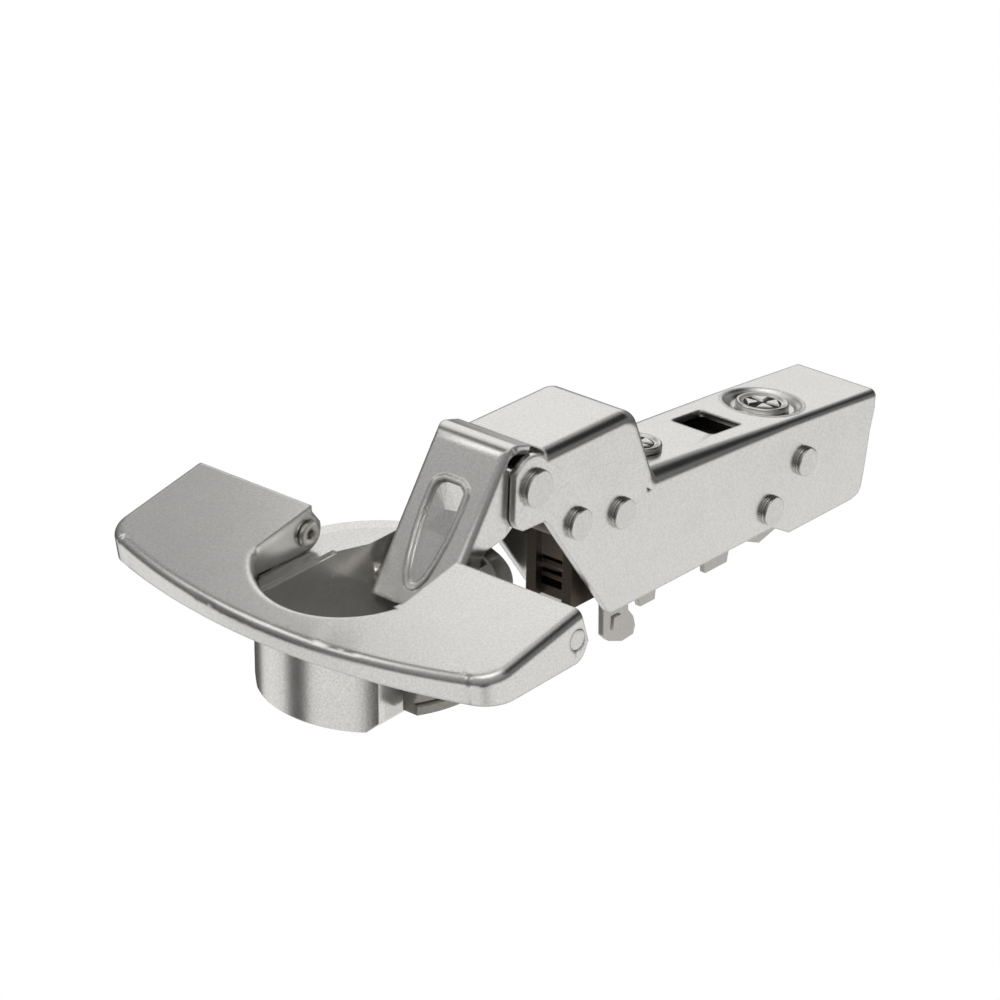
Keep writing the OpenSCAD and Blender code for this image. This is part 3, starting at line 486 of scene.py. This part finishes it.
# %% Camera
AZIMUTH, ELEVATION, ROLL = math.radians(-50.171), math.radians(26.384), math.radians(0.21)
EYE_MM = (17.084, 12.197, 615.462)      # right, up and back from the centre of the cup
back = Vector((
    math.sin(AZIMUTH) * math.cos(ELEVATION),
    -math.cos(AZIMUTH) * math.cos(ELEVATION),
    math.sin(ELEVATION),
))
right = Vector((math.cos(AZIMUTH), math.sin(AZIMUTH), 0))
up = back.cross(right)
cam_x = math.cos(ROLL) * right + math.sin(ROLL) * up
cam_y = -math.sin(ROLL) * right + math.cos(ROLL) * up
eye = (EYE_MM[0] * cam_x + EYE_MM[1] * cam_y + EYE_MM[2] * back) / 1000
cam = bpy.data.objects.new("Camera", bpy.data.cameras.new("Camera"))
bpy.context.scene.collection.objects.link(cam)
cam.matrix_world = Matrix.Translation(eye) @ Matrix((cam_x, cam_y, back)).transposed().to_4x4()
cam.data.lens = 158.49
cam.data.sensor_width = 36
cam.data.clip_start = 0.05
cam.data.clip_end = 5
bpy.context.scene.camera = cam
print("camera:", [round(c, 4) for c in eye])

# %% [markdown]
# ## The light tent
# Polished metal shows only what stands round it. Lamps in an empty white room would leave it
# flat, with no dark line to draw its edges. A product photographer hangs a tent instead: a
# bright table below, a dark gap at the horizon and a soft ceiling. The world plays the tent
# here, because it costs no objects and lights every pose alike.

# %% The tent by height
# Height in the tent, from straight down at -1 to straight up at 1, and how bright it is there
TENT = [
    (-1.0, 0.70), (-0.55, 0.95), (-0.37, 0.95), (-0.29, 0.08),
    (0.10, 0.04), (0.30, 0.12), (0.60, 0.36), (1.0, 0.50),
]
world = bpy.data.worlds.new("Tent")
bpy.context.scene.world = world
world.use_nodes = True
sky_tree = world.node_tree
sky_tree.nodes.clear()
toward_tent = add(sky_tree, "ShaderNodeTexCoord").outputs["Generated"]
split = add(sky_tree, "ShaderNodeSeparateXYZ", {"Vector": toward_tent})
height = add(sky_tree, "ShaderNodeMapRange", {"Value": split.outputs["Z"]}, {"From Min": -1.0})
ramp = add(sky_tree, "ShaderNodeValToRGB", {"Fac": height.outputs["Result"]})
for i, (z, value) in enumerate(TENT):
    stop = ramp.color_ramp.elements[i] if i < 2 else ramp.color_ramp.elements.new(0.5)
    stop.position = (z + 1) / 2
    stop.color = (value, value, value, 1)
print("stops:", len(ramp.color_ramp.elements))

# %% [markdown]
# ## Cards
# Round cards of light or of black cloth hang in the tent where one face or one fold should
# catch them: a black card gives the arm's folds their dark line, and a bright one the cover
# its rim. Area lamps could do the bright ones, but not the black, so all are discs drawn on
# the tent by their direction.

# %% Hang the cards
def hang_card(under, toward, radius, soft, value):
    """Lays a round card of one brightness over the tent in the given direction."""
    aim = Vector(toward).normalized()
    dot = add(
        sky_tree, "ShaderNodeVectorMath", {0: toward_tent}, {1: aim},
        operation="DOT_PRODUCT",
    )
    fade = {
        "From Min": math.cos(math.radians(radius + soft)),
        "From Max": math.cos(math.radians(radius - soft)),
    }
    edge = add(
        sky_tree, "ShaderNodeMapRange", {"Value": dot.outputs["Value"]}, fade,
        interpolation_type="SMOOTHSTEP",
    )
    # In a Mix node for colours, sockets 6 and 7 are the two colours and output 2 is the mixed one
    card = add(
        sky_tree, "ShaderNodeMix", {"Factor": edge.outputs["Result"], 6: under},
        {7: (value, value, value, 1)}, data_type="RGBA",
    )
    return card.outputs[2]


CARDS = [
    # toward, radius and soft edge in degrees, brightness, and where it is seen
    ((0.72, 0.58, 0.34), 17, 4, 1.03),      # far wall, in the level tops of the arm
    ((-0.40, 0.57, 0.72), 13, 5, 1.50),     # strip lamp, along the cover's front rim
    ((0.05, 0.57, 0.82), 8, 4, 0.02),       # black cloth, a line where the cover's fold starts
    ((0.0, 0.0, 1.0), 18, 6, 1.60),         # lamp overhead, fills the cup and lights small edges
    ((0.69, -0.42, 0.58), 24, 8, 0.01),     # black cloth, the dark line along the arm's folds
    ((0.49, -0.56, 0.67), 18, 6, 0.02),     # black cloth, the dark line along the cover's right side
    ((-0.69, 0.58, -0.44), 11, 4, 0.0),     # gap between tables, a dark stripe down the cup
    ((-0.63, -0.64, -0.44), 14, 4, 0.0),    # the camera's own shadow on the table
    ((0.37, 0.82, -0.44), 16, 4, 0.06),     # far edge of the table, the cup's left side
]
sky = ramp.outputs["Color"]
for toward, radius, soft, value in CARDS:
    sky = hang_card(sky, toward, radius, soft, value)
print("cards:", len(CARDS))

# %% [markdown]
# ## White for the camera
# The page behind the hinge is plain white. A white tent would wash the metal out, and more
# light would clip it. Light Path tells the rays apart: the camera's own rays meet white, and
# every other ray meets the tent.

# %% White page
tent = add(sky_tree, "ShaderNodeBackground", {"Color": sky}, Strength=1.0)
white = add(sky_tree, "ShaderNodeBackground", Color=(1, 1, 1, 1), Strength=1.0)
path = add(sky_tree, "ShaderNodeLightPath")
mix_in = {
    "Fac": path.outputs["Is Camera Ray"],
    1: tent.outputs["Background"],
    2: white.outputs["Background"],
}
mix = add(sky_tree, "ShaderNodeMixShader", mix_in)
add(sky_tree, "ShaderNodeOutputWorld", {"Surface": mix.outputs["Shader"]})
print("world nodes:", len(sky_tree.nodes))

# %% [markdown]
# ## Floor
# The hinge lies on white paper. A lit sheet would turn grey away from the lamps, so the
# camera sees the floor glow as white as the page, and the metal looks through it at the
# tent's own table.

# %% White paper
FLOOR_HALF = 0.6
FLOOR_GAP = 0.0002
floor_z = start_box[0][2] - FLOOR_GAP
SQUARE = ((-1, -1), (1, -1), (1, 1), (-1, 1))
corners = [(x * FLOOR_HALF, y * FLOOR_HALF, floor_z) for x, y in SQUARE]
data = bpy.data.meshes.new("Floor")
data.from_pydata(corners, [], [(0, 1, 2, 3)])
floor = bpy.data.objects.new("Floor", data)
bpy.context.scene.collection.objects.link(floor)
paper = bpy.data.materials.new("White paper")
paper.use_nodes = True
paper_tree = paper.node_tree
paper_tree.nodes.clear()
matte = add(paper_tree, "ShaderNodeBsdfDiffuse", Color=(0.9, 0.9, 0.9, 1))
glow = add(paper_tree, "ShaderNodeEmission", Color=(1, 1, 1, 1), Strength=1.0)
path = add(paper_tree, "ShaderNodeLightPath")
mix_in = {
    "Fac": path.outputs["Is Camera Ray"],
    1: matte.outputs["BSDF"],
    2: glow.outputs["Emission"],
}
mix = add(paper_tree, "ShaderNodeMixShader", mix_in)
add(paper_tree, "ShaderNodeOutputMaterial", {"Surface": mix.outputs["Shader"]})
data.materials.append(paper)
floor.visible_glossy = False
floor.visible_shadow = False
print("floor at", floor_z)

# %% [markdown]
# ## Two small lamps
# The tent lights all of the hinge alike, but in the picture the near half of the cover is
# brighter than the far half, and the pocket under it isn't black. Only a source close by can
# light one end of a flat sheet more than the other. So a small round lamp hangs above the arm
# and shines on the near half, and a narrow spot on the camera's side reaches into the pocket.

# %% Lamps
def hang_lamp(name, kind, energy, place, target):
    """Adds a lamp at one place, turned toward another."""
    lamp = bpy.data.objects.new(name, bpy.data.lights.new(name, kind))
    lamp.data.energy = energy
    bpy.context.scene.collection.objects.link(lamp)
    lamp.location = place
    lamp.rotation_mode = "QUATERNION"
    lamp.rotation_quaternion = (Vector(target) - lamp.location).to_track_quat("-Z", "Y")
    return lamp


cover_lamp = hang_lamp("Cover lamp", "AREA", 0.015, (0.122, 0.103, 0.172), (-0.01, -0.035, 0.006))
cover_lamp.data.shape = "DISK"
cover_lamp.data.size = 0.10
cover_lamp.visible_camera = False

pocket_spot = hang_lamp("Pocket spot", "SPOT", 1.1, (-0.20, -0.12, 0.20), (0.002, 0.006, -0.005))
pocket_spot.data.spot_size = math.radians(6)
pocket_spot.data.spot_blend = 1.0
pocket_spot.data.shadow_soft_size = 0.01
print("lamps:", len(bpy.data.lights))

# %% [markdown]
# ## Finish
# The scene's view transform is set to Standard.

# %% Finish
scene = bpy.context.scene
scene.view_settings.view_transform = "Standard"
